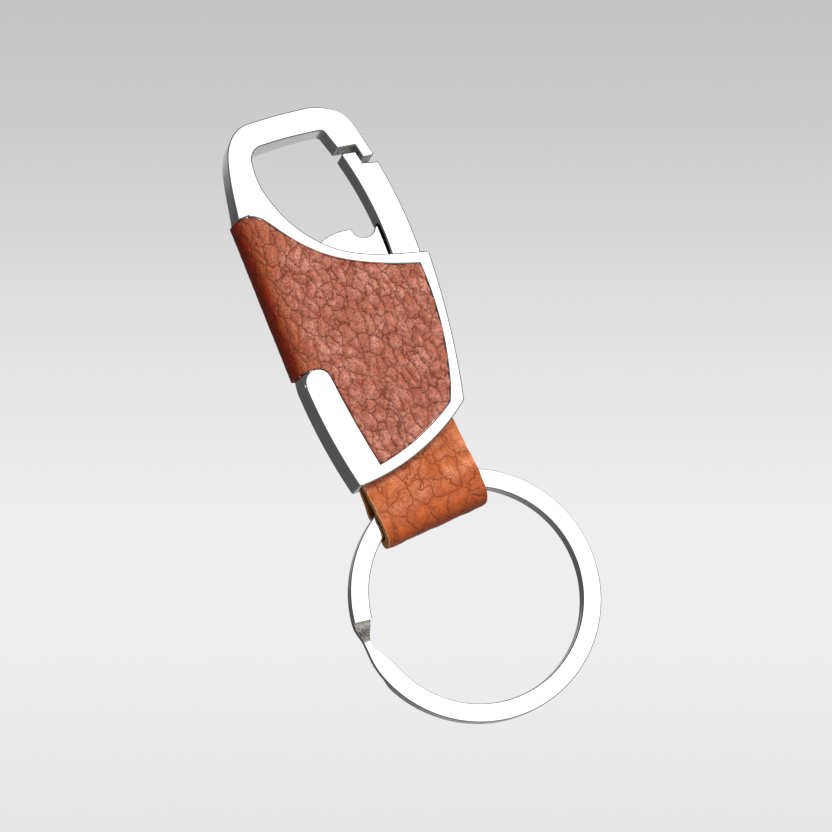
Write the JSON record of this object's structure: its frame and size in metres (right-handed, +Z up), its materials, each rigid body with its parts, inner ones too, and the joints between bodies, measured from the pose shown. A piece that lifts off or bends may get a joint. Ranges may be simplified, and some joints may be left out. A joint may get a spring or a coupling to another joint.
{
  "type": "keychain bottle opener",
  "caption": "Pocket carabiner key holder with a sprung gate, a cap-lifting tooth, leather grip panels and a leather strap that carries a flat split ring.",
  "frame": {"origin": "hang point: on the inside of the hook's top bar, at mid-thickness, 9 mm to the right of the body's lower left corner", "axes": "+Z up along the body from the ring to the hook, +Y through the thickness towards the back face, +X from the leather spine towards the gate"},
  "size_m": [0.0359, 0.0062, 0.0919],
  "materials": {
    "chrome_casting": "bright chrome plate on a die casting",
    "chrome_gate": "bright chrome plate",
    "blade_steel": "polished, plated steel",
    "ring_steel": "polished nickel plate",
    "pin_steel": "bright steel",
    "spring_steel": "drawn spring wire",
    "wrap_leather": "pebbled red-brown leather",
    "strap_leather": "smooth tan leather with raw cut edges"
  },
  "bodies": {
    "body": {"frame_casting": "chrome_casting", "opener_blade": "blade_steel", "blade_rivets": "pin_steel", "gate_pin": "pin_steel", "leather_wrap": "wrap_leather", "strap_pins": "pin_steel"},
    "gate": {"gate": "chrome_gate", "gate_spring": "spring_steel"},
    "strap": {"strap": "strap_leather"},
    "ring": {"split_ring": "ring_steel"}
  },
  "joints": [
    {"name": "gate_hinge", "type": "hinge", "parent": "body", "child": "gate", "pos_m": [0.0106, 0, -0.0262], "axis": [0, -1, 0], "range_deg": [0, 16], "stiffness_Nm_per_rad": 0.02, "springref_deg": -5.73, "deforming": ["gate_spring"]},
    {"name": "strap_flex", "type": "hinge", "parent": "body", "child": "strap", "pos_m": [0, 0, -0.0522], "axis": [1, 0, 0], "range_deg": [-75, 75], "stiffness_Nm_per_rad": 0.002, "deforming": ["strap"]},
    {"name": "ring_turn", "type": "hinge", "parent": "strap", "child": "ring", "pos_m": [0.00035, 0, -0.07026], "axis": [0, 1, 0], "continuous": true}
  ]
}
